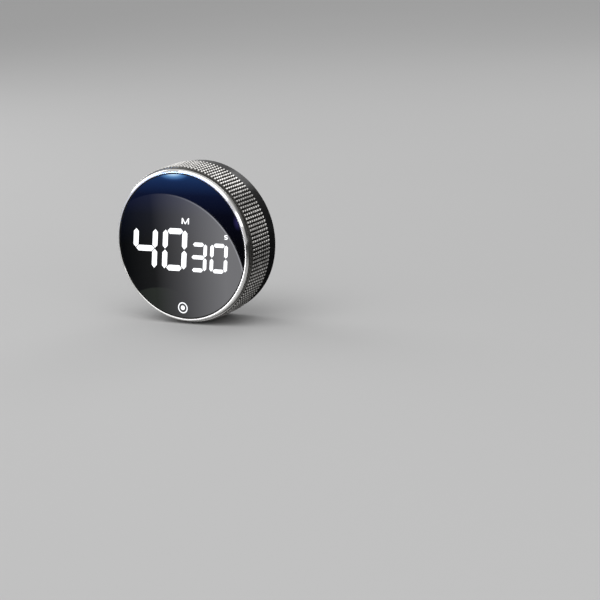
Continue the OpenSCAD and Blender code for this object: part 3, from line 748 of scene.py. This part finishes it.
def reflection_paint(unit):
    """The card's painted reflection, in millimetres on the glass that mirrors it; unit is how much larger
    the card is.
    """
    f = Finish("reflection_paint", Roughness=1.0, Emission_Strength=1.0)
    f.shader.inputs["Base Color"].default_value = (0, 0, 0, 1)
    place = f.node("Mapping", {"Vector": f.place, "Scale": (1 / unit / MM,) * 3}).outputs[0]
    split = f.node("SeparateXYZ", {0: place})
    across, up = split.outputs["X"], split.outputs["Z"]
    none = (0, 0, 0)

    # painted reflection of a dark blue cloth, lighter towards the top, with a painted highlight at its upper
    # edge and a violet one at the side
    painted_backdrop = f.ramp(f.between(up, 2.0, 37.0, 0.0, 1.0),
                   (0.0, (0.015, 0.015, 0.04)), (0.4, (0.03, 0.045, 0.17)), (0.66, (0.08, 0.15, 0.60)),
                   (0.83, (0.18, 0.50, 1.8)), (1.0, (0.3, 1.0, 3.2)))
    glint_middle, glint_spread = (-2.0, 36.5), (12.0, 4.8)
    # a painted highlight: a bright spot on the card that the glass shows as a glint at its top
    glow = f.ramp(f.distance(across, up, glint_middle, glint_spread),
                  (0.0, (16.0, 22.0, 26.0)), (0.25, (11.0, 16.0, 20.0)), (0.5, (2.0, 4.8, 9.0)),
                  (0.8, (0.1, 0.3, 1.0)), (1.0, none))
    violet_middle, violet_spread = (32.9, 13.5), (2.6, 4.5)
    violet_glint = f.ramp(f.distance(across, up, violet_middle, violet_spread),
                    (0.0, (0.5, 0.4, 2.0)), (1.0, none))
    painted_backdrop = f.plus(f.plus(painted_backdrop, glow), violet_glint)

    # painted reflection of the round grey board, brighter to the right, with a painted bright edge and a
    # little blue at its top
    board_middle, board_r = (-9.0, -18.3), 43.9
    line_half, soft_half = 0.5, 0.2
    away = f.distance(across, up, board_middle)
    grey = f.between(across, -34.0, 24.0, 0.0, 1.0)
    painted_board = f.ramp(grey, (0.0, (0.04, 0.05, 0.06)), (0.3, (0.25, 0.26, 0.27)),
                   (0.6, (1.5, 1.5, 1.6)), (1.0, (3.9, 3.9, 4.1)))
    edge = f.ramp(grey, (0.45, none), (0.95, (4.4, 4.5, 5.0)))
    off_edge = f.maths("ABSOLUTE", f.maths("SUBTRACT", away, board_r - 0.3))
    painted_board = f.plus(painted_board, edge, f.between(off_edge, 0.0, line_half, 1.0, 0.0))
    blue = f.ramp(f.between(up, 0.0, 30.0, 0.0, 1.0),
                  (0.0, none), (0.5, (0.01, 0.03, 0.16)), (1.0, (0.06, 0.15, 0.9)))
    painted_board = f.plus(painted_board, blue)

    # a faint painted pool of light along the foot of the board
    pool_middle, pool_r = (-13.5, -56.9), 35.5
    pool_share = f.between(f.distance(across, up, pool_middle), pool_r - 0.3, pool_r + 0.3, 1.0, 0.0)
    painted_pool = f.ramp(f.between(across, -34.0, -2.0, 0.0, 1.0),
                  (0.0, (0.16, 0.2, 0.17)), (0.5, (0.27, 0.34, 0.25)), (1.0, none))
    painted_board = f.plus(painted_board, painted_pool, pool_share)
    inside_board = f.between(away, board_r - soft_half, board_r + soft_half, 1.0, 0.0)
    sight = f.mix(inside_board, painted_backdrop, painted_board)

    # painted plain white round it, which only the metal rim mirrors
    glass_r = lens_r / MM - 0.1
    off_middle = f.distance(across, up, (0.0, 0.0))
    rim = f.between(off_middle, glass_r - 0.1, glass_r + 0.1, 0.0, 1.0)
    f.feed("Emission Color", f.mix(rim, sight, (0.85, 0.85, 0.85, 1)))
    return f.material


def make_dark_reflection_sheets():
    """Two dark sheets that lie behind the timer and to its right, seen only by its metal and gloss, which
    paint dark reflections into the metal; the right one is grey near the timer and black further right.
    """
    reach, ahead = 1.2, 0.25
    level = floor_z + 0.5 * MM
    edge = dial_back_y + 4 * MM
    behind_from = -0.05
    fade_from, fade_to = 0.07, 0.22
    fading = Finish("reflection_fade_paint", Roughness=1.0)
    across = fading.node("SeparateXYZ", {0: fading.place}).outputs["X"]
    # painted reflection: grey near the timer, fading to black further to the right
    painted_reflection_shade = fading.ramp(fading.between(across, fade_from, fade_to, 0.0, 1.0),
                        (0.0, (0.5, 0.5, 0.5)), (0.4, (0.1, 0.1, 0.1)), (1.0, (0.004, 0.004, 0.004)))
    fading.feed("Base Color", painted_reflection_shade)
    glossy_only(stage_sheet("dark_reflection_right", fade_from, reach, -ahead, edge, fading.material, level))
    # a plain black sheet that paints a dark reflection behind the timer
    black = Finish("reflection_black_paint", Roughness=1.0)
    black.feed("Base Color", black.ramp(black.noise(8.0), (0.3, (0.004, 0.004, 0.004)),
                                        (0.7, (0.007, 0.007, 0.007))))
    glossy_only(stage_sheet("dark_reflection_behind", behind_from, reach, edge, reach, black.material, level))


def make_world():
    """Even white light from all round, fading to a dark corner of the studio behind on the right."""
    dark_corner = Vector((0.85, 0.5, -0.15))
    fade_from, fade_to = 0.3, 0.95
    bright, dim = 0.6, 0.03
    world = bpy.data.worlds.new("studio")
    world.use_nodes = True
    tree = world.node_tree
    look = tree.nodes.new("ShaderNodeTexCoord").outputs["Generated"]
    towards = tree.nodes.new("ShaderNodeVectorMath")
    towards.operation = "DOT_PRODUCT"
    towards.inputs[1].default_value = dark_corner
    fade = tree.nodes.new("ShaderNodeMapRange")
    for socket, value in (("From Min", fade_from), ("From Max", fade_to),
                          ("To Min", bright), ("To Max", dim)):
        fade.inputs[socket].default_value = value
    tree.links.new(look, towards.inputs[0])
    tree.links.new(towards.outputs["Value"], fade.inputs["Value"])
    tree.links.new(fade.outputs["Result"], tree.nodes["Background"].inputs["Strength"])
    tree.nodes["Background"].inputs["Color"].default_value = (1, 1, 1, 1)
    scene.world = world


def softbox(name, place, width, height, power):
    """An area lamp that points at the middle of the timer."""
    data = bpy.data.lights.new(name, "AREA")
    data.shape = "RECTANGLE"
    data.size = width
    data.size_y = height
    data.energy = power
    glow = bpy.data.objects.new(name, data)
    scene.collection.objects.link(glow)
    glow.location = place
    aim = Vector((0, front_y / 2, 0)) - Vector(place)
    glow.rotation_euler = aim.to_track_quat("-Z", "Y").to_euler()


def make_lights():
    """A large key above, a small one behind, and weaker ones to the right and left."""
    softbox("key_softbox", (0.02, -0.45, 0.95), 1.2, 0.6, 3.4)
    softbox("back_softbox", (0.04, 0.85, 0.55), 0.4, 0.35, 0.6)
    softbox("right_softbox", (0.75, -0.5, 0.36), 0.3, 0.25, 0.45)
    softbox("left_softbox", (-0.9, 0.25, 0.5), 0.5, 0.6, 2.0)


make_dial()
make_lens()
blocks = make_digits()
make_letter_m(blocks[0])
make_letter_s(blocks[1])
make_touch_mark()
make_back()
make_back_marks()
for place, up in (("left", 1), ("middle", -1), ("right", 1)):
    make_cell("cell_" + place, "battery_" + place, up)
finish_cad_nodes()
make_floor()
make_painted_mirror_image()
make_dark_reflection_sheets()
make_world()
make_lights()
scene.view_settings.view_transform = "Standard"
